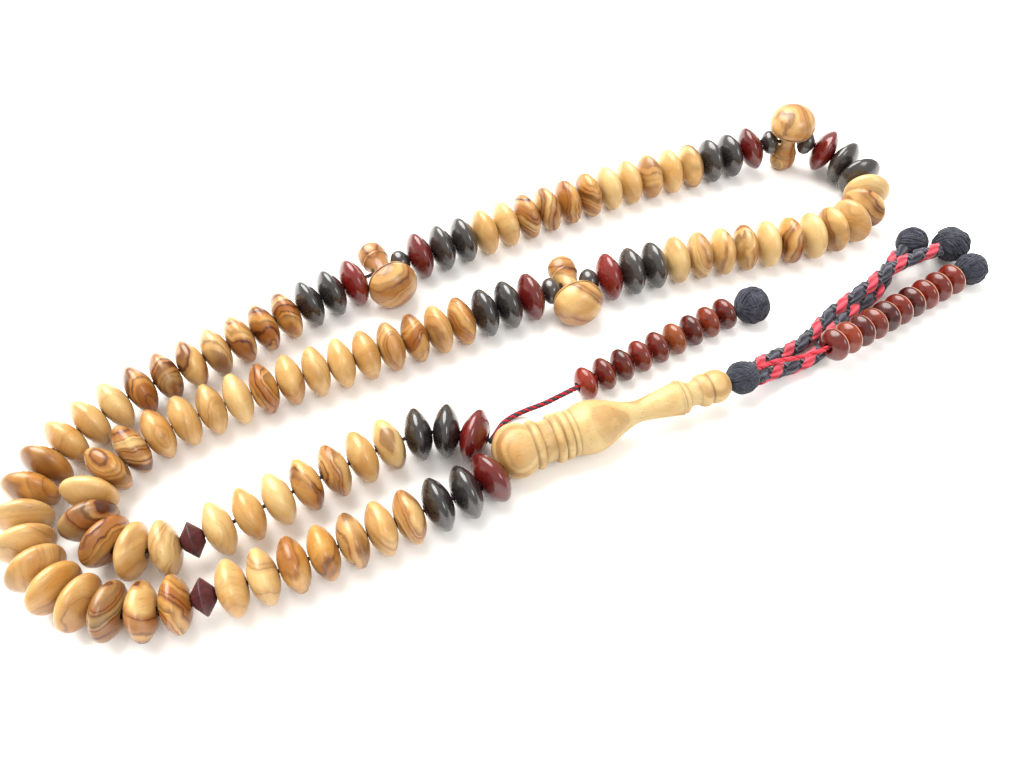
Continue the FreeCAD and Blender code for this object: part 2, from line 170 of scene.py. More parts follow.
# ---- mesh building -----------------------------------------------------------------------------
class Pile:
    """Gathers mesh for one object, with the attributes that its materials read:
    grain, a place in a block of wood in mm; own, a place in the piece itself; look, three numbers;
    and how deep in a groove the place is, for the painted shade that the wood puts in its grooves."""

    def __init__(self):
        self.verts = []
        self.faces = []
        self.slots = []
        self.grain = []
        self.own = []
        self.look = []
        self.groove_shade = []

    def ring_strip(self, rings, closed, slot=0):
        """Faces between rings of equal length; closed joins the last ring to the first."""
        count = len(rings[0])
        pairs = list(zip(rings, rings[1:]))
        if closed:
            pairs.append((rings[-1], rings[0]))
        for a, b in pairs:
            for i in range(count):
                j = (i + 1) % count
                self.faces.append((a[i], a[j], b[j], b[i]))
                self.slots.append(slot)

    def lathe(self, profile, place, steps, block, look, closed=True, rough=0.0, seed=0.0):
        """Turns a profile of (radius, height) in mm about the place's Z axis.
        block puts the piece into its wood block; rough is how far out of round it is."""
        rings = []
        # Each point carries how deep in a groove it lies, for the painted shade that darkens the grooves.
        for (radius, height), groove_shade in zip(profile, hollows(profile)):
            ring = []
            for k in range(steps):
                angle = 2 * math.pi * k / steps
                self.groove_shade.append(groove_shade)
                uneven = 1 - rough * (0.5 + 0.5 * math.sin(2 * angle + seed + 0.2 * height))
                out = radius * uneven
                here = Vector((out * math.cos(angle), out * math.sin(angle), height))
                ring.append(len(self.verts))
                self.verts.append(place @ (here * MM))
                self.own.append(here)
                self.grain.append(block @ here)
                self.look.append(look(height) if callable(look) else look)
            rings.append(ring)
        self.ring_strip(rings, closed)
        if not closed:
            self.faces.append(tuple(reversed(rings[0])))
            self.faces.append(tuple(rings[-1]))
            self.slots += [0, 0]

    def tube(self, line, radius, sides, slot=0, outward=None, flat=1.0):
        """A strand along a line in metres; own is (mm along, two numbers for the way round).
        With outward directions it is pressed to this share of its width in those directions."""
        firsts, seconds = carried_frames(line)
        if outward is not None:
            tangents = tangents_of(line)
            firsts = np.cross(tangents, outward)
            firsts /= np.linalg.norm(firsts, axis=1)[:, None]
            seconds = np.cross(firsts, tangents) * flat
        rings = []
        for n, (point, along) in enumerate(zip(line, run_along(line))):
            ring = []
            for k in range(sides):
                angle = 2 * math.pi * k / sides
                out = firsts[n] * math.cos(angle) + seconds[n] * math.sin(angle)
                ring.append(len(self.verts))
                self.verts.append(Vector(point + out * radius))
                self.own.append(Vector((along / MM, math.cos(angle), math.sin(angle))))
                self.grain.append(Vector(point) / MM)
                self.look.append((0, 0, 0))
                self.groove_shade.append(0.0)
            rings.append(ring)
        self.ring_strip(rings, False, slot)
        self.faces.append(tuple(reversed(rings[0])))
        self.faces.append(tuple(rings[-1]))
        self.slots += [slot, slot]

    def build(self, name, materials):
        mesh = bpy.data.meshes.new(name)
        mesh.from_pydata([tuple(v) for v in self.verts], [], self.faces)
        mesh.validate()
        for material in materials:
            mesh.materials.append(material)
        mesh.polygons.foreach_set("material_index", self.slots[:len(mesh.polygons)])
        mesh.polygons.foreach_set("use_smooth", [True] * len(mesh.polygons))
        for title, values in (("grain", self.grain), ("own", self.own), ("look", self.look)):
            layer = mesh.attributes.new(title, "FLOAT_VECTOR", "POINT")
            numbers = np.array([tuple(v) for v in values], dtype=np.float32)
            layer.data.foreach_set("vector", numbers.ravel())
        # How deep in a groove each place lies, which the wood darkens as painted shade.
        layer = mesh.attributes.new("groove_shade", "FLOAT", "POINT")
        layer.data.foreach_set("value", np.array(self.groove_shade, dtype=np.float32))
        mesh.update()
        piece = bpy.data.objects.new(name, mesh)
        bpy.context.collection.objects.link(piece)
        return piece


GROOVE_REACH = 0.05
FULL_GROOVE = 0.9


def hollows(profile):
    """How deep in a groove each point of a turned outline lies, from 0 to 1: the inward bends of
    the outline around it, in radians, out to about the square root of GROOVE_REACH in mm."""
    bends = [0.0]
    for (r0, z0), (r1, z1), (r2, z2) in zip(profile, profile[1:], profile[2:]):
        cross = (r1 - r0) * (z2 - z1) - (z1 - z0) * (r2 - r1)
        dot = (r1 - r0) * (r2 - r1) + (z1 - z0) * (z2 - z1)
        bends.append(max(0.0, -math.atan2(cross, dot)))
    bends.append(0.0)
    found = []
    for r, z in profile:
        depth = 0.0
        for bend, (other_r, other_z) in zip(bends, profile):
            depth += bend * math.exp(-((r - other_r) ** 2 + (z - other_z) ** 2) / GROOVE_REACH)
        found.append(min(1.0, depth / FULL_GROOVE))
    return found


def arc(a, through, b, count):
    """Points of the circle arc from a over through to b, without a."""
    (ax, ay), (bx, by), (cx, cy) = a, through, b
    d = 2 * (ax * (by - cy) + bx * (cy - ay) + cx * (ay - by))
    a2, b2, c2 = [x * x + y * y for x, y in (a, through, b)]
    ux = (a2 * (by - cy) + b2 * (cy - ay) + c2 * (ay - by)) / d
    uy = (a2 * (cx - bx) + b2 * (ax - cx) + c2 * (bx - ax)) / d
    radius = math.hypot(ax - ux, ay - uy)
    start = math.atan2(ay - uy, ax - ux)
    middle = math.atan2(by - uy, bx - ux)
    end = math.atan2(cy - uy, cx - ux)
    turn = (end - start) % (2 * math.pi)
    if (middle - start) % (2 * math.pi) > turn:
        turn -= 2 * math.pi
    angles = [start + turn * k / count for k in range(1, count + 1)]
    return [(ux + radius * math.cos(t), uy + radius * math.sin(t)) for t in angles]


def run(a, b, count):
    """Points of a straight run from a to b, without a."""
    shares = [k / count for k in range(1, count + 1)]
    return [(a[0] + (b[0] - a[0]) * t, a[1] + (b[1] - a[1]) * t) for t in shares]


def smooth_through(points, count):
    """Points of a smooth curve through the points, without the first."""
    made = []
    for n in range(len(points) - 1):
        p0 = Vector(points[max(n - 1, 0)])
        p1 = Vector(points[n])
        p2 = Vector(points[n + 1])
        p3 = Vector(points[min(n + 2, len(points) - 1)])
        near = (p2 - p1).length
        m1 = (p2 - p0) * (near / max((p2 - p0).length, 1e-6))
        m2 = (p3 - p1) * (near / max((p3 - p1).length, 1e-6))
        for k in range(1, count + 1):
            t = k / count
            a = 2 * t ** 3 - 3 * t ** 2 + 1
            b = t ** 3 - 2 * t ** 2 + t
            c = 3 * t ** 2 - 2 * t ** 3
            d = t ** 3 - t ** 2
            made.append(tuple(p1 * a + m1 * b + p2 * c + m2 * d))
    return made


# ---- the places of the turned pieces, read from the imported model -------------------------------
def solids_of(node):
    """Each closed solid of a node: its surface's centre and its flattest direction."""
    packed = frame["nodes"][node]
    shape = bmesh.new()
    shape.from_mesh(packed.data)
    bmesh.ops.transform(shape, matrix=packed.matrix_world, verts=shape.verts)
    bmesh.ops.remove_doubles(shape, verts=shape.verts, dist=1e-6)
    bmesh.ops.triangulate(shape, faces=shape.faces)
    found = []
    left = set(shape.verts)
    while left:
        island = {left.pop()}
        edge_of_island = list(island)
        while edge_of_island:
            vert = edge_of_island.pop()
            for edge in vert.link_edges:
                other = edge.other_vert(vert)
                if other in left:
                    left.discard(other)
                    island.add(other)
                    edge_of_island.append(other)
        faces = {face for vert in island for face in vert.link_faces}
        areas = np.array([face.calc_area() for face in faces])
        centres = np.array([list(face.calc_center_median()) for face in faces])
        middle = (centres * areas[:, None]).sum(axis=0) / areas.sum()
        spread = ((centres - middle) * areas[:, None]).T @ (centres - middle)
        flattest = np.linalg.eigh(spread)[1][:, 0]
        found.append((Vector(middle), Vector(flattest)))
    shape.free()
    return found


def standing(centre, axis, hint=Vector((0.0, 0.0, 1.0))):
    """A frame at the centre with Z along the axis and X as near the hint as it can be."""
    z = axis.normalized()
    x = hint - z * hint.dot(z)
    if x.length < 1e-3:
        x = Vector((1.0, 0.0, 0.0)) - z * z.x
    x.normalize()
    y = z.cross(x)
    made = Matrix((x, y, z)).transposed().to_4x4()
    made.translation = centre
    return made


joint_of = {joint["child"]: joint for joint in frame["joints"]}
node_body = {}
for body_name, names in frame["record"]["behaviour"]["bodies"].items():
    for node_name in names:
        node_body[node_name] = body_name


# ---- materials ---------------------------------------------------------------------------------
class Shader:
    """A few words for making node materials."""

    def __init__(self, name):
        self.material = bpy.data.materials.new(name)
        self.material.use_nodes = True
        self.tree = self.material.node_tree
        self.tree.nodes.clear()
        self.surface = self.tree.nodes.new("ShaderNodeBsdfPrincipled")
        end = self.tree.nodes.new("ShaderNodeOutputMaterial")
        self.tree.links.new(self.surface.outputs[0], end.inputs["Surface"])

    def put(self, socket, value):
        if isinstance(value, bpy.types.NodeSocket):
            self.tree.links.new(value, socket)
        elif value is not None:
            socket.default_value = value

    def attribute(self, title, output="Vector"):
        node = self.tree.nodes.new("ShaderNodeAttribute")
        node.attribute_name = title
        return node.outputs[output]

    def parts(self, vector):
        node = self.tree.nodes.new("ShaderNodeSeparateXYZ")
        self.put(node.inputs[0], vector)
        return node.outputs[0], node.outputs[1], node.outputs[2]

    def joined(self, x, y, z):
        node = self.tree.nodes.new("ShaderNodeCombineXYZ")
        self.put(node.inputs[0], x)
        self.put(node.inputs[1], y)
        self.put(node.inputs[2], z)
        return node.outputs[0]

    def math(self, operation, a, b=None, clamp=False):
        node = self.tree.nodes.new("ShaderNodeMath")
        node.operation = operation
        node.use_clamp = clamp
        self.put(node.inputs[0], a)
        self.put(node.inputs[1], b)
        return node.outputs[0]

    def vector(self, operation, a, b=None):
        node = self.tree.nodes.new("ShaderNodeVectorMath")
        node.operation = operation
        self.put(node.inputs[0], a)
        if operation == "SCALE":
            self.put(node.inputs["Scale"], b)
        else:
            self.put(node.inputs[1], b)
        return node.outputs["Value"] if operation == "LENGTH" else node.outputs[0]

    def noise(self, vector, scale, detail=2.0, rough=0.5, colour=False):
        node = self.tree.nodes.new("ShaderNodeTexNoise")
        self.put(node.inputs["Vector"], vector)
        node.inputs["Scale"].default_value = scale
        node.inputs["Detail"].default_value = detail
        node.inputs["Roughness"].default_value = rough
        return node.outputs["Color" if colour else "Fac"]

    def rings(self, distance, scale, rough):
        """Noise that depends on one number only, so that it makes rings round a line."""
        node = self.tree.nodes.new("ShaderNodeTexNoise")
        node.noise_dimensions = "1D"
        self.put(node.inputs["W"], distance)
        node.inputs["Scale"].default_value = scale
        node.inputs["Detail"].default_value = 1.0
        node.inputs["Roughness"].default_value = rough
        return node.outputs["Fac"]

    def step(self, value, low, high, to_low=0.0, to_high=1.0):
        """A smooth change from to_low, where the value is low or less, to to_high."""
        node = self.tree.nodes.new("ShaderNodeMapRange")
        node.interpolation_type = "SMOOTHSTEP"
        self.put(node.inputs["Value"], value)
        node.inputs["From Min"].default_value = low
        node.inputs["From Max"].default_value = high
        node.inputs["To Min"].default_value = to_low
        node.inputs["To Max"].default_value = to_high
        return node.outputs["Result"]

    def mix(self, share, a, b):
        node = self.tree.nodes.new("ShaderNodeMix")
        node.data_type = "RGBA"
        self.put(node.inputs["Factor"], share)
        self.put(node.inputs["A"], a)
        self.put(node.inputs["B"], b)
        return node.outputs["Result"]

    def bump(self, height, distance, strength, under=None):
        node = self.tree.nodes.new("ShaderNodeBump")
        node.inputs["Strength"].default_value = strength
        node.inputs["Distance"].default_value = distance
        self.put(node.inputs["Height"], height)
        self.put(node.inputs["Normal"], under)
        return node.outputs[0]

    def finish(self, body, roughness, normal, specular, coat=0.0, coat_rough=0.1, sheen=0.0):
        self.put(self.surface.inputs["Base Color"], body)
        self.put(self.surface.inputs["Roughness"], roughness)
        self.put(self.surface.inputs["Normal"], normal)
        self.surface.inputs["Coat Weight"].default_value = coat
        self.surface.inputs["Coat Roughness"].default_value = coat_rough
        self.surface.inputs["Specular IOR Level"].default_value = specular
        self.surface.inputs["Sheen Weight"].default_value = sheen
        self.surface.inputs["Sheen Roughness"].default_value = 0.4
        return self.material


def colour(red, green, blue):
    """A colour given as it looks on a screen, 0 to 255, as the linear numbers that nodes take."""
    shares = [c / 255 for c in (red, green, blue)]
    return tuple(c / 12.92 if c < 0.04045 else ((c + 0.055) / 1.055) ** 2.4 for c in shares) + (1.0,)


def figured_wood(name, pale, warm, honey, dark, grey, ring_size, vein_share, gloss, coat, fleck):
    """Wood with growth rings, warm zones and brown veins that follow them, fibres and pores.
    look gives the tone from pale to warm, how strong the veins are, and how grey it is."""
    s = Shader(name)
    grain = s.attribute("grain")
    tone, vein, greyness = s.parts(s.attribute("look"))
    # The rings' centre line, bent by a wide wander and a finer ripple.
    wander = s.vector("SUBTRACT", s.noise(grain, 0.055, 1.0, 0.5, colour=True), (0.5, 0.5, 0.5))
    ripple = s.vector("SUBTRACT", s.noise(grain, 0.28, 2.0, 0.5, colour=True), (0.5, 0.5, 0.5))
    bent = s.vector("ADD", grain, s.vector("SCALE", wander, 15.0))
    bent = s.vector("ADD", bent, s.vector("SCALE", ripple, 2.2))
    x, y, z = s.parts(bent)
    distance = s.vector("LENGTH", s.joined(x, y, 0.0))
    # Honey zones, the thin veins at the middle value of the ring noise, and one broader dark band.
    zone = s.step(s.rings(distance, 0.20 / ring_size, 0.5), 0.44, 0.62)
    lines = s.rings(distance, 0.21 / ring_size, 0.4)
    away = s.math("ABSOLUTE", s.math("SUBTRACT", lines, 0.5))
    patches = s.step(s.noise(grain, 0.13, 2.0), 0.36, 0.60)
    sharp = s.step(away, 0.004, 0.022, 1.0, 0.0)
    halo = s.step(away, 0.0, 0.10, 0.8, 0.0)
    band_in = s.step(lines, 0.60, 0.625, 0.0, 0.7)
    dark_band = s.math("MULTIPLY", band_in, s.step(lines, 0.63, 0.74, 1.0, 0.15))
    marks = s.math("MAXIMUM", sharp, dark_band)
    weight = s.math("MULTIPLY", s.math("ADD", s.math("MULTIPLY", patches, 0.65), 0.35), vein)
    marks = s.math("MULTIPLY", s.math("MULTIPLY", marks, weight), vein_share, clamp=True)
    # Body colour: the tone, clouded, with fine rings and fibres.
    fine = s.rings(distance, 2.6 / ring_size, 0.4)
    along = s.vector("MULTIPLY", grain, (2.4, 2.4, 0.2))
    fibre = s.noise(along, 1.0, 4.0, 0.65)
    cloud = s.noise(grain, 0.17, 2.0, 0.5)
    share = s.math("ADD", tone, s.math("MULTIPLY", s.math("SUBTRACT", cloud, 0.5), 1.6))
    share = s.math("ADD", share, s.math("MULTIPLY", s.math("SUBTRACT", fine, 0.5), 0.30), clamp=True)
    body = s.mix(share, pale, warm)
    body = s.mix(s.math("MULTIPLY", s.math("MULTIPLY", zone, vein), 0.75, clamp=True), body, honey)
    body = s.mix(s.step(fibre, 0.5, 0.8, 0.0, 0.22), body, dark)
    grey_patch = s.math("MULTIPLY", s.step(s.noise(bent, 0.11, 2.0), 0.40, 0.60), greyness, clamp=True)
    body = s.mix(grey_patch, body, grey)
    body = s.mix(s.math("MULTIPLY", halo, weight, clamp=True), body, honey)
    body = s.mix(s.math("MULTIPLY", marks, 0.95), body, dark)
    # Pores, painted shade in the grooves, and the marks that the turning left.
    pores = s.noise(s.vector("MULTIPLY", grain, (4.0, 4.0, 0.6)), 1.0, 2.0, 0.5)
    pores = s.step(pores, 0.63, 0.73, 0.0, fleck)
    body = s.mix(pores, body, dark)
    # Painted shade: the grooves of the turned outlines are darkened towards the dark colour.
    body = s.mix(s.math("MULTIPLY", s.attribute("groove_shade", "Fac"), 0.5, clamp=True), body, dark)
    own_x, own_y, own_z = s.parts(s.attribute("own"))
    radius = s.vector("LENGTH", s.joined(own_x, own_y, 0.0))
    surface_run = s.math("ADD", own_z, s.math("MULTIPLY", radius, 0.6))
    turning = s.math("SINE", s.math("MULTIPLY", surface_run, 24.0))
    relief = s.math("ADD", s.math("MULTIPLY", turning, 0.10), s.math("MULTIPLY", fibre, 0.9))
    normal = s.bump(relief, 0.000035, 0.5)
    rough = s.math("ADD", s.math("MULTIPLY", fibre, 0.16), gloss)
    return s.finish(body, rough, normal, 0.36, coat=coat, coat_rough=0.18)


RIM_LINE_HEIGHT = 0.42
RIM_LINE_INNER = 3.56
RIM_LINE_OUTER = 3.76


def polished_wood(name, low, high, streak, gloss, coat,
                  speck=0.0, rim=None, mottle=1.0, specular=0.5, other=None):
    """Dark polished wood: two tones in streaks along the grain, pores and small knocks.
    mottle is how strong the streaks are; rim is the colour of a worn line beside the rim;
    other is a light tone that some beads have in place of high."""
    s = Shader(name)
    grain = s.attribute("grain")
    own = s.attribute("own")
    tone, worn, change = s.parts(s.attribute("look"))
    if other:
        high = s.mix(change, high, other)
    streaks = s.noise(s.vector("MULTIPLY", grain, (1.2, 1.2, 0.18)), 1.0, 4.0, 0.6)
    cloud = s.noise(grain, 0.25, 2.0)
    share = s.math("ADD", s.math("MULTIPLY", s.math("SUBTRACT", streaks, 0.5), 2.2 * mottle), tone)
    clouding = s.math("MULTIPLY", s.math("SUBTRACT", cloud, 0.5), 1.4 * mottle)
    share = s.math("ADD", share, clouding, clamp=True)
    body = s.mix(share, low, high)
    pits = s.noise(s.vector("MULTIPLY", grain, (3.5, 3.5, 1.1)), 1.0, 3.0, 0.6)
    body = s.mix(s.step(pits, 0.60, 0.72, 0.0, streak), body, low)
    if speck:
        specks = s.step(s.noise(grain, 2.3, 2.0, 0.7), 0.66, 0.72, 0.0, speck)
        body = s.mix(specks, body, high)
    if rim:
        x, y, z = s.parts(own)
        radius = s.vector("LENGTH", s.joined(x, y, 0.0))
        off = s.math("ABSOLUTE", s.math("SUBTRACT", z, RIM_LINE_HEIGHT))
        uneven = s.math("MULTIPLY", s.noise(own, 0.9, 2.0), 0.5)
        line = s.step(off, 0.05, 0.28, 1.0, 0.0)
        line = s.math("MULTIPLY", line, s.step(radius, RIM_LINE_INNER, RIM_LINE_OUTER))
        line = s.math("MULTIPLY", line, s.math("ADD", uneven, 0.62))
        line = s.math("MULTIPLY", line, worn, clamp=True)
        body = s.mix(line, body, rim)
    relief = s.math("ADD", s.math("MULTIPLY", streaks, 0.6), s.math("MULTIPLY", pits, 0.8))
    normal = s.bump(relief, 0.00003, 0.6)
    waves = s.bump(s.noise(grain, 0.55, 1.0), 0.00012, 0.5, normal)
    rough = s.math("ADD", s.math("MULTIPLY", pits, 0.18), gloss)
    return s.finish(body, rough, waves, specular, coat=coat, coat_rough=0.11)


def yarn(name, deep, light, ply, relief, twist=1.0, sheen=0.25):
    """Spun thread: plies that wind round the strand once in ply mm, and fibres drawn along them.
    The colour goes from deep in the grooves of this relief to light on its crests: painted shade and painted
    sheen.
    """
    s = Shader(name)
    along, round_x, round_y = s.parts(s.attribute("own"))
    place = s.attribute("grain")
    angle = s.math("ARCTAN2", round_y, round_x)
    wound = s.math("ADD", s.math("MULTIPLY", along, 2 * math.pi / ply), s.math("MULTIPLY", angle, 3.0))
    plies = s.math("MULTIPLY", s.math("ADD", s.math("SINE", wound), 1.0), 0.5 * twist)
    drawn = s.noise(s.joined(s.math("MULTIPLY", along, 1.6), s.math("MULTIPLY", round_x, 5.0),
                             s.math("MULTIPLY", round_y, 5.0)), 1.0, 3.0, 0.6)
    fuzz = s.noise(place, 7.0, 2.0, 0.6)
    cloud = s.noise(place, 0.7, 2.0)
    # Painted shade and sheen: the plies and drawn fibres are darker in their grooves and lighter on their crests;
    # the cloud is the yarn's own change of colour.
    share = s.math("ADD", s.math("MULTIPLY", plies, 0.45), s.math("MULTIPLY", drawn, 0.5))
    share = s.math("ADD", share, s.math("MULTIPLY", s.math("SUBTRACT", cloud, 0.5), 0.7), clamp=True)
    body = s.mix(share, deep, light)
    height = s.math("ADD", s.math("MULTIPLY", plies, 0.9), s.math("MULTIPLY", drawn, 0.8))
    height = s.math("ADD", height, s.math("MULTIPLY", fuzz, 0.3))
    normal = s.bump(height, 0.00012 * relief, 1.0)
    return s.finish(body, 0.85, normal, 0.12, sheen=sheen)


olive = figured_wood(
    "olive_wood", colour(200, 168, 112), colour(176, 124, 56), colour(132, 72, 22), colour(66, 28, 7),
    colour(108, 84, 54), ring_size=1.15, vein_share=1.0, gloss=0.26, coat=0.32, fleck=0.25)
boxwood = figured_wood(
    "boxwood", colour(188, 163, 113), colour(170, 128, 70), colour(162, 112, 56), colour(84, 48, 20),
    colour(140, 112, 78), ring_size=1.1, vein_share=0.55, gloss=0.42, coat=0.08, fleck=0.6)
black = polished_wood("black_wood", colour(14, 13, 15), colour(58, 51, 47), 0.5, 0.19, 0.75, mottle=0.5)
dark_red = polished_wood(
    "dark_red_wood", colour(40, 8, 9), colour(116, 21, 14), 0.4, 0.15, 0.5, speck=0.1, mottle=0.4,
    specular=0.4)
maroon = polished_wood("maroon_wood", colour(42, 13, 20), colour(84, 31, 40), 0.8, 0.42, 0.0)
red_brown = polished_wood(
    "red_brown_wood", colour(38, 9, 9), colour(120, 33, 18), 0.3, 0.12, 0.4, rim=colour(206, 150, 116),
    mottle=0.5, specular=0.35, other=colour(128, 62, 24))
charcoal_yarn = yarn("charcoal_yarn", colour(4, 4, 7), colour(84, 84, 96), 1.9, 2.6, 1.5)
red_yarn = yarn("red_yarn", colour(108, 10, 26), colour(246, 92, 106), 1.9, 2.6, 1.3)
charcoal_thread = yarn("charcoal_thread", colour(18, 18, 23), colour(78, 76, 86), 0.8, 0.5, sheen=0.15)
red_thread = yarn("red_thread", colour(112, 18, 30), colour(196, 50, 58), 0.8, 0.5, sheen=0.15)
maroon_thread = yarn("maroon_thread", colour(44, 12, 18), colour(110, 32, 40), 0.8, 0.5, sheen=0.15)
coral_thread = yarn("coral_thread", colour(150, 28, 46), colour(230, 84, 96), 0.8, 0.5, sheen=0.15)
knot_thread = yarn("knot_thread", colour(9, 10, 14), colour(92, 95, 110), 3.0, 1.2, 0.25, sheen=0.2)

# ---- shapes of the turned pieces ---------------------------------------------------------------
BORE = 1.1


def lens(diameter, thickness, rim, bulge):
    """A saucer bead's closed outline, from the bore round the rim and back. rim is half the
    thickness where the rim starts to round off; bulge is how full the sides are."""
    radius = diameter / 2
    half = thickness / 2
    flat = BORE + 0.25
    edge = radius - 0.35 * rim
    side = arc((flat, -half), (0.55 * radius, -half * bulge), (edge, -rim), 10)
    tip = arc((edge, -rim), (radius, 0.0), (edge, rim), 6)
    lower = [(BORE, -half + 0.12), (BORE + 0.1, -half + 0.02), (flat, -half)] + side + tip[:3]
    upper = [(r, -z) for r, z in reversed(lower[:-1])]
    return lower + upper + [(BORE, 0.0)]


def bicone(diameter, thickness):
    """A marker's outline: two cones with a sharp rim."""
    half = thickness / 2
    cone = run((BORE + 0.35, -half), (diameter / 2 - 0.12, -0.2), 7)
    lower = [(BORE, -half + 0.1), (BORE + 0.3, -half)] + cone + [(diameter / 2, -0.08)]
    return lower + [(r, -z) for r, z in reversed(lower)] + [(BORE, 0.0)]


DIVIDER_NECK = 2.3
DIVIDER_HOLE_AT = 8.6
DIVIDER_HOLE_RADIUS = 1.2


def divider_outline():
    """A divider's outline: foot, waist with the cross hole, two rims and the domed head."""
    points = [(0.02, 0.0), (1.0, 0.0), (1.9, 0.02)]
    points += arc((1.9, 0.02), (3.2, 1.2), (3.55, 2.8), 8)
    points += arc((3.55, 2.8), (3.5, 3.9), (3.15, 4.7), 6)
    points += [(3.18, 4.76), (3.42, 4.93), (3.45, 5.1), (3.38, 5.3), (3.28, 5.4)]
    points += arc((3.28, 5.4), (DIVIDER_NECK, DIVIDER_HOLE_AT), (3.1, 12.0), 18)
    points += [(3.14, 12.12), (3.6, 12.2), (5.35, 12.33), (5.55, 12.42), (5.68, 12.6), (5.68, 12.76)]
    points += [(5.6, 12.88), (5.46, 12.94), (5.5, 13.02)]
    points += arc((5.5, 13.02), (6.05, 13.75), (6.2, 14.6), 7)
    crown = [(6.2, 14.6), (5.95, 15.75), (5.4, 16.95), (4.5, 17.95), (3.2, 18.75), (1.6, 19.25)]
    crown += [(0.02, 19.4)]
    points += smooth_through(crown, 3)
    return points


def leader_outline():
    """The leader bead's outline: ball, grooved beads, vase, long neck, and the turned tail."""
    ball = BALL_RADIUS
    points = [(0.02, -BALL_END)]
    turns = [math.pi * k / 36 for k in range(1, 19)]
    points += [(ball * math.sin(t), -BALL_END * math.cos(t)) for t in turns]
    points += arc((ball, 0.0), (ball * math.cos(0.3), ball * math.sin(0.3)), (5.1, 3.35), 8)
    points += [(5.06, 3.5), (5.2, 3.62)]
    points += arc((5.2, 3.62), (5.62, 4.35), (5.0, 5.3), 7)
    points += [(4.85, 5.42), (4.72, 5.6), (4.68, 5.9), (4.62, 6.8), (4.66, 7.9), (4.7, 8.15)]
    points += arc((4.7, 8.15), (5.65, 9.15), (4.85, 10.12), 8)
    points += [(4.78, 10.2)]
    points += arc((4.78, 10.2), (5.5, 11.15), (4.8, 12.1), 8)
    points += [(4.74, 12.2)]
    points += arc((4.74, 12.2), (5.3, 12.75), (5.12, 13.35), 4)
    points += smooth_through(
        [(5.12, 13.35), (5.78, 15.2), (5.95, 17.2), (5.62, 19.4), (4.9, 21.6), (3.62, 24.7), (2.72, 27.6),
         (2.52, 29.4), (2.75, 31.5), (3.3, 35.3), (3.9, 38.9)], 5)
    points += [(4.0, 39.05), (4.02, 39.25), (3.9, 39.38), (3.68, 39.44)]
    points += arc((3.68, 39.44), (3.86, 40.25), (3.25, 40.9), 5)
    points += arc((3.25, 40.9), (2.75, 42.4), (3.0, 43.8), 8)
    points += arc((3.0, 43.8), (3.78, 45.0), (3.56, 46.35), 7)
    points += [(3.4, 46.45), (3.3, 46.55), (3.38, 46.68)]
    points += arc((3.38, 46.68), (3.85, 48.7), (2.9, 50.9), 12)
    points += arc((2.9, 50.9), (2.5, 51.4), (1.75, 51.6), 4)
    points += [(1.66, 51.5), (1.64, 50.4), (0.02, 50.2)]
    return points


# ---- how each wooden bead looks, in order along the string -------------------------------------
# A letter for the tone (p pale, h honey, o orange, g greyish) and a digit for how strong its veins are.
FIGURES = {
    "olive_beads_1": "p4 h1 h6 o7 p0 h1 p1",
    "olive_beads_2": "p3 h1 o7 g9 h0 o6 p7 o2 h1 g2 p0 o8 h4 h1 h0 h2 h5 o9 h3 o6",
    "olive_beads_3": "p1 p4 h5 h8 p0 o8 p1 g4 h2 h8 p2",
    "olive_beads_4": "g6 h0 h5 h2 p1 o7 o7 h6 h8 h1 h1",
    "olive_beads_5": "o9 o9 h8 p5 h7 g9 o9 p1 h1 o1 o4 o4 h1 h2 h2 o3 o4 g8 h8 o9",
    "olive_beads_6": "h1 p3 o7 o6 h5 h3 h6",
}
TONES = {"p": 0.05, "h": 0.4, "o": 0.75, "g": 0.4}


def turned_block(dice):
    """A random place and turn in the block of wood that a piece is cut from."""
    turn = Matrix.Rotation(dice.uniform(0, 2 * math.pi), 4, "Z")
    tilt = Matrix.Rotation(dice.uniform(0.9, 2.2), 4, "X")
    spin = Matrix.Rotation(dice.uniform(0, 2 * math.pi), 4, "Z")
    offset = Matrix.Translation((dice.uniform(8, 40), dice.uniform(8, 40), dice.uniform(-400, 400)))
    return offset @ turn @ tilt @ spin


loop_line = route_line([laid(*p) for p in LOOP_ROUTE])


def along_loop(point):
    """Which point of the loop's line is nearest to this one."""
    return int(np.argmin(np.linalg.norm(loop_line - np.array(point), axis=1)))


def add_beads(node, sizes, material, looks, steps, rough=0.006, bulge=0.83):
    """The beads of one node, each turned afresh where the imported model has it.
    sizes are diameter, thickness and rim; without a rim they are bicones."""
    dice = random.Random(node)
    pile = Pile()
    found = solids_of(node)
    joint = joint_of.get(node)
    if len(found) > 1:
        found.sort(key=lambda item: along_loop(item[0]))
    for index, (centre, axis) in enumerate(found):
        if joint:
            axis = Vector(joint["axis"])
            if joint["type"] == "slide":
                axis = -axis
        diameter, thickness, rim = sizes
        if rim:
            size = 1 - dice.uniform(0.0, 0.012)
            edge = rim * dice.uniform(0.85, 1.05)
            outline = lens(diameter * size, thickness, edge, bulge + dice.uniform(-0.02, 0.02))
        else:
            outline = bicone(diameter, thickness)
        block = turned_block(dice)
        look = looks(index, dice)
        seed = dice.uniform(0, 6)
        pile.lathe(outline, standing(centre, axis), steps, block, look, rough=rough, seed=seed)
    piece = pile.build(node + "_look", [material])
    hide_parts(node)
    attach(piece, node_body[node])
    return piece


def olive_look(node):
    codes = FIGURES[node].split()

    def look(index, dice):
        letter, digit = codes[index][0], int(codes[index][1])
        greyness = 0.6 if letter == "g" else 0.0
        return (TONES[letter] + dice.uniform(-0.08, 0.08), 0.05 + digit * 0.12, greyness)
    return look


def plain_look(low, high, second=0.0, third=0.0):
    return lambda index, dice: (dice.uniform(low, high), second, third)


LARGE = (12.0, 5.9, 0.85)
SHARP = (12.0, 5.9, 0.7)
SMALL = (6.6, 4.3, 1.2)
COUNTER = (8.0, 4.6, 0.8)
MARKER = (7.8, 4.4, 0.0)
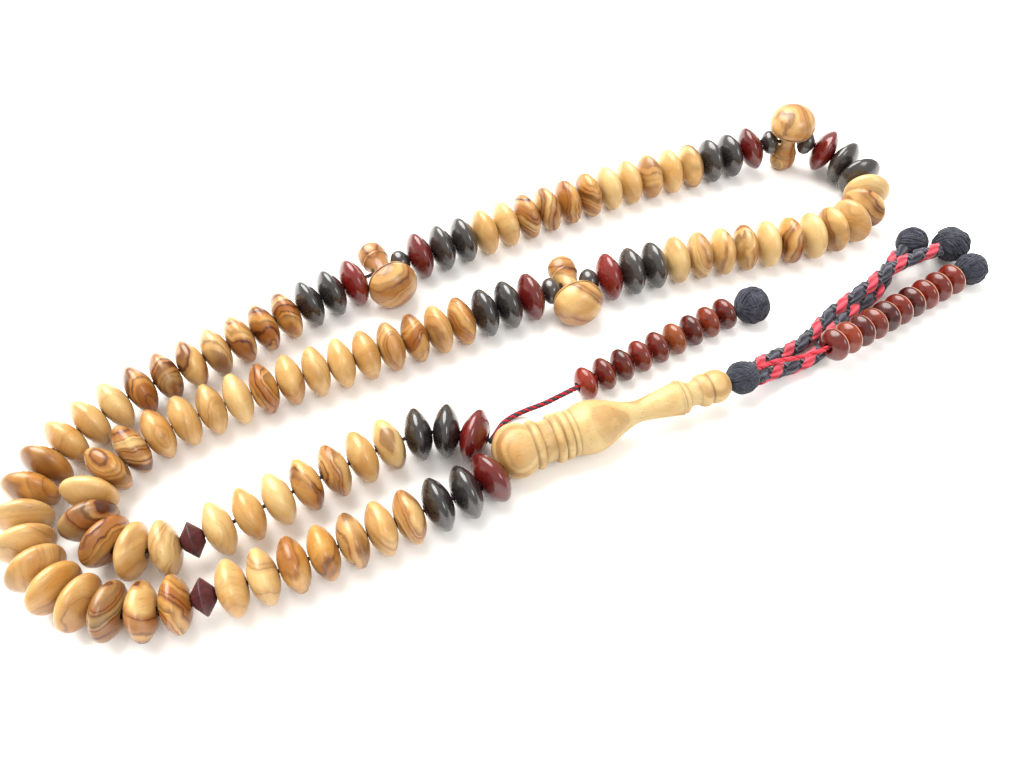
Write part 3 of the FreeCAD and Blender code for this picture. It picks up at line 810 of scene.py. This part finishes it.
# Each counter bead's tone from dark to light; how worn the rims of each string's beads are;
# and the beads of a browner wood.
COUNTER_TONES = {
    1: (0.3, 0.7, 0.2, 0.75, 0.4, 0.65, 0.25, 0.4, 0.85),
    2: (0.55, 0.45, 0.65, 0.25, 0.55, 0.2, 0.55, 0.2, 0.8, 0.45),
}
RIM_WEAR = {1: 0.12, 2: 1.0}
BROWNER = {
    "counter_1_bead_2": 0.4, "counter_1_bead_4": 1.0, "counter_2_bead_9": 0.3, "counter_2_bead_7": 0.2,
}
counter_pieces = {1: [], 2: []}
for name in sorted(frame["nodes"]):
    if name.startswith("olive_beads"):
        add_beads(name, LARGE, olive, olive_look(name), steps=64)
    elif name.startswith("black_beads"):
        add_beads(name, SHARP, black, plain_look(0.1, 0.6), steps=64)
    elif name.startswith("spacer_bead"):
        add_beads(name, SMALL, black, plain_look(0.2, 0.6), steps=48, bulge=0.9)
    elif name.startswith("red_bead"):
        add_beads(name, SHARP, dark_red, plain_look(0.35, 0.75), steps=64)
    elif name.startswith("marker_bead"):
        add_beads(name, MARKER, maroon, plain_look(0.4, 0.6), steps=40, rough=0.02)
    elif "_bead_" in name and name.startswith("counter"):
        string = int(name[8])
        tone = COUNTER_TONES[string][int(name.rsplit("_", 1)[1]) - 1]
        look = plain_look(tone - 0.05, tone + 0.05, RIM_WEAR[string], BROWNER.get(name, 0.0))
        piece = add_beads(name, COUNTER, red_brown, look, steps=48, bulge=0.86)
        counter_pieces[string].append(piece)

# ---- dividers ----------------------------------------------------------------------------------
DIVIDER_LOOK = (0.45, 0.75, 0.0)
HOLE_LOOK = (0.9, 0.9, 0.0)


def drill(piece, start, axis, radius, depth, material, block):
    """Cuts a round hole into a piece, from the start along the axis."""
    pile = Pile()
    place = standing(start, axis)
    pile.lathe([(radius, 0.0), (radius, depth)], place, 32, block, HOLE_LOOK, closed=False)
    bit = pile.build("bit", [material])
    cut = piece.modifiers.new("hole", "BOOLEAN")
    cut.operation = "DIFFERENCE"
    cut.object = bit
    cut.solver = "EXACT"
    bpy.context.view_layer.update()
    seen = piece.evaluated_get(bpy.context.evaluated_depsgraph_get())
    cut_mesh = bpy.data.meshes.new_from_object(seen)
    piece.modifiers.clear()
    piece.data = cut_mesh
    bpy.data.objects.remove(bit)


for number in (1, 2, 3):
    name = "divider_%d" % number
    dice = random.Random("figure " + name)
    joint = joint_of[name]
    hole = Vector(joint["pos_m"])
    axis = Vector(joint["axis"]).normalized()
    heavy_side = solids_of(name)[0][0] - hole
    head = (heavy_side - axis * heavy_side.dot(axis)).normalized()
    place = standing(hole - head * DIVIDER_HOLE_AT * MM, head, axis)
    pile = Pile()
    block = turned_block(dice)
    pile.lathe(divider_outline(), place, 72, block, DIVIDER_LOOK, closed=False, rough=0.004)
    piece = pile.build(name + "_look", [olive])
    drill(piece, hole - axis * 9 * MM, axis, DIVIDER_HOLE_RADIUS, 18.0, olive, block)
    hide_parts(name)
    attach(piece, node_body[name])

# ---- leader bead -------------------------------------------------------------------------------
leader_axis = Vector((math.cos(math.radians(LEADER_ANGLE)), math.sin(math.radians(LEADER_ANGLE)), 0.0))
ball_centre = laid(*BALL)


def leader_look(height):
    """The ball's end grain is browner than the rest."""
    end_grain = min(1.0, max(0.0, (3.0 - height) / 7.0))
    return (0.2 + 0.3 * end_grain, 0.42 + 0.38 * end_grain, 0.0)


pile = Pile()
leader_block = Matrix.Translation((14.0, 9.0, 0.0)) @ Matrix.Rotation(0.07, 4, "X")
leader_place = standing(ball_centre, leader_axis)
pile.lathe(leader_outline(), leader_place, 96, leader_block, leader_look, closed=False)
leader = pile.build("leader_bead_look", [boxwood])
for strand_end in (LOOP_ROUTE[0], LOOP_ROUTE[-1]):
    mouth = laid(*strand_end) - ball_centre
    drill(leader, ball_centre, mouth, MOUTH_RADIUS, 2 * BALL_RADIUS, boxwood, leader_block)
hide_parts("leader_bead")
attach(leader, node_body["leader_bead"])

# ---- cords -------------------------------------------------------------------------------------
def twisted(pile, line, pitch, radius, strand, slots, sides):
    """Strands that wind round a line, one for each slot."""
    firsts, seconds = carried_frames(line)
    for number, slot in enumerate(slots):
        angle = 2 * math.pi * (run_along(line) / pitch + number / len(slots))
        path = line + (firsts * np.cos(angle)[:, None] + seconds * np.sin(angle)[:, None]) * radius
        pile.tube(path, strand, sides, slot)


BRAID_PITCH = 10.5
BRAID_CORE = 1.06
BRAID_WEAVE = 0.26
BRAID_STRAND = 1.22
BRAID_TURN = 0.36


def braided(pile, line, slots, shift):
    """A round braid of four flat strands over a core: two wind one way and two the other,
    over and under, and the second two stand a little prouder. shift moves the crossings along."""
    firsts, seconds = carried_frames(line)
    turn = 2 * math.pi * run_along(line) / (BRAID_PITCH * MM) + shift
    pile.tube(line, BRAID_CORE * MM, 12, 1)
    for number, slot in enumerate(slots):
        way = 1 if number < 2 else -1
        angle = way * turn + math.pi * (number % 2) + (0 if way > 0 else math.pi / 2) - BRAID_TURN
        outward = firsts * np.cos(angle)[:, None] + seconds * np.sin(angle)[:, None]
        out = BRAID_CORE * MM + way * BRAID_WEAVE * MM * (np.sin(2 * turn) - 1)
        pile.tube(line + outward * out[:, None], BRAID_STRAND * MM, 18, slot, outward, 0.5)


# The loop's two ends go through the leader bead side by side to the collar knot.
side = Vector((-leader_axis.y, leader_axis.x, 0.0)) * 0.6 * MM
tail = ball_centre + leader_axis * (LEADER_LENGTH + 1.7) * MM
chamber = ball_centre + leader_axis * 0.3 * MM
middle = ball_centre + leader_axis * 27 * MM
inside = [tail + side, middle + side * 0.9, chamber + side]
back = [chamber - side, middle - side * 0.9, tail - side]
whole_loop = route_line(inside + [laid(*p) for p in LOOP_ROUTE] + back)
pile = Pile()
twisted(pile, whole_loop, 3.2 * MM, 0.22 * MM, 0.25 * MM, [0, 1, 1], sides=6)
loop_cord = pile.build("loop_cord_look", [maroon_thread, charcoal_thread])
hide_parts("loop_cord")
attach(loop_cord, node_body["loop_cord"])


def free_cord(node, route, fineness, build, materials):
    """A free cord of the string: its strands and what it stands for."""
    line = route_line([laid(*p) for p in route], fineness)
    pile = Pile()
    build(pile, line)
    piece = pile.build(node + "_look", materials)
    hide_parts(node)
    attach(piece, node_body[node])


def thin_cord(pile, line):
    """Four strands, two of each colour."""
    twisted(pile, line, 3.8 * MM, 0.32 * MM, 0.33 * MM, [0, 1, 0, 1], sides=10)


def coral_cord(pile, line):
    """Three strands, two of them of the first colour."""
    twisted(pile, line, 3.4 * MM, 0.27 * MM, 0.31 * MM, [0, 1, 0], sides=10)


def thick_braid(shift):
    """The maker of a braid with one strand of the first colour and three of the second."""
    def build(pile, line):
        braided(pile, line, [1, 1, 0, 1], shift)
    return build


# ---- wound knots -------------------------------------------------------------------------------
KNOT_THREAD = 0.34
KNOT_BUNDLES = 14
BUNDLE_TURNS = 4
TURN_STEPS = 72


def wound_knot(node):
    """A ball of thread wound in bundles of near-parallel turns, each bundle its own way."""
    dice = random.Random(node)
    low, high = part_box(node)
    centre = (Vector(low) + Vector(high)) / 2
    radius = (Vector(high) - Vector(low)).x / 2
    pile = Pile()
    core_angles = [0.02 + (math.pi - 0.04) * k / 24 for k in range(25)]
    core = [(radius / MM * 0.90 * math.sin(t), -radius / MM * 0.90 * math.cos(t)) for t in core_angles]
    pile.lathe(core, Matrix.Translation(centre), 40, Matrix.Identity(4), (0, 0, 0), closed=False)
    for bundle in range(KNOT_BUNDLES):
        pole = Vector((dice.gauss(0, 1), dice.gauss(0, 1), dice.gauss(0, 1))).normalized()
        tilted = standing(Vector((0, 0, 0)), pole)
        middle_at = dice.uniform(-0.35, 0.35)
        for turn in range(BUNDLE_TURNS):
            # All of these are shares of the knot's radius: later bundles lie over earlier ones.
            height = middle_at + (turn - 1.5) * 0.14
            phase = dice.uniform(0, 6.28)
            deep = 0.81 + 0.009 * bundle + dice.uniform(-0.035, 0.025)
            line = []
            for k in range(TURN_STEPS + 1):
                angle = 2 * math.pi * k / TURN_STEPS
                wave = 0.035 * math.sin(2 * angle + phase) + 0.02 * math.sin(5 * angle + 2 * phase)
                level = max(-0.97, min(0.97, height + wave))
                around = math.sqrt(1 - level * level)
                here = Vector((around * math.cos(angle), around * math.sin(angle), level))
                bump = 0.012 * math.sin(7 * angle + phase)
                line.append(list(centre + (tilted @ here) * radius * (deep + bump)))
            pile.tube(np.array(line), KNOT_THREAD * MM * dice.uniform(0.8, 1.1), 8)
    piece = pile.build(node + "_look", [knot_thread])
    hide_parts(node)
    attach(piece, node_body[node])
    return piece


knots = {name: wound_knot(name) for name in frame["nodes"] if name.endswith("_knot")}

free_cord("counter_1_cord", COUNTER_1_ROUTE, 128, thin_cord, [red_thread, charcoal_thread])
free_cord("counter_2_cord", COUNTER_2_ROUTE, 128, coral_cord, [coral_thread, red_thread])
free_cord("braid_1", BRAID_1_ROUTE, 32, thick_braid(-1.12), [red_yarn, charcoal_yarn])
free_cord("braid_2", BRAID_2_ROUTE, 32, thick_braid(0.88), [red_yarn, charcoal_yarn])

# ---- floor and light ---------------------------------------------------------------------------
floor_mesh = bpy.data.meshes.new("floor")
floor_mesh.from_pydata([(-3, -3, 0), (3, -3, 0), (3, 3, 0), (-3, 3, 0)], [], [(0, 1, 2, 3)])
floor = bpy.data.objects.new("floor", floor_mesh)
bpy.context.collection.objects.link(floor)
paper = bpy.data.materials.new("white_paper")
paper.use_nodes = True
paper_surface = paper.node_tree.nodes["Principled BSDF"]
paper_surface.inputs["Base Color"].default_value = (0.97, 0.965, 0.95, 1)
paper_surface.inputs["Roughness"].default_value = 0.6
paper_surface.inputs["Specular IOR Level"].default_value = 0.2
floor_mesh.materials.append(paper)

world = bpy.data.worlds.new("world")
world.use_nodes = True
sky = world.node_tree.nodes["Background"]
sky.inputs["Color"].default_value = (1.0, 0.975, 0.93, 1)
sky.inputs["Strength"].default_value = 0.95
bpy.context.scene.world = world
bpy.context.scene.view_settings.view_transform = "Standard"


def soft_light(name, place, aim, size, power, tint):
    data = bpy.data.lights.new(name, "AREA")
    data.shape = "DISK"
    data.size = size
    data.energy = power
    data.color = tint
    lamp = bpy.data.objects.new(name, data)
    lamp.location = place
    lamp.rotation_euler = (Vector(aim) - Vector(place)).to_track_quat("-Z", "Y").to_euler()
    bpy.context.collection.objects.link(lamp)


soft_light("key", (-0.50, 0.55, 0.95), (0, 0, 0), 1.3, 40.0, (1.0, 0.985, 0.95))
soft_light("fill", (0.55, -0.45, 0.8), (0, 0, 0), 0.5, 4.0, (0.97, 0.98, 1.0))
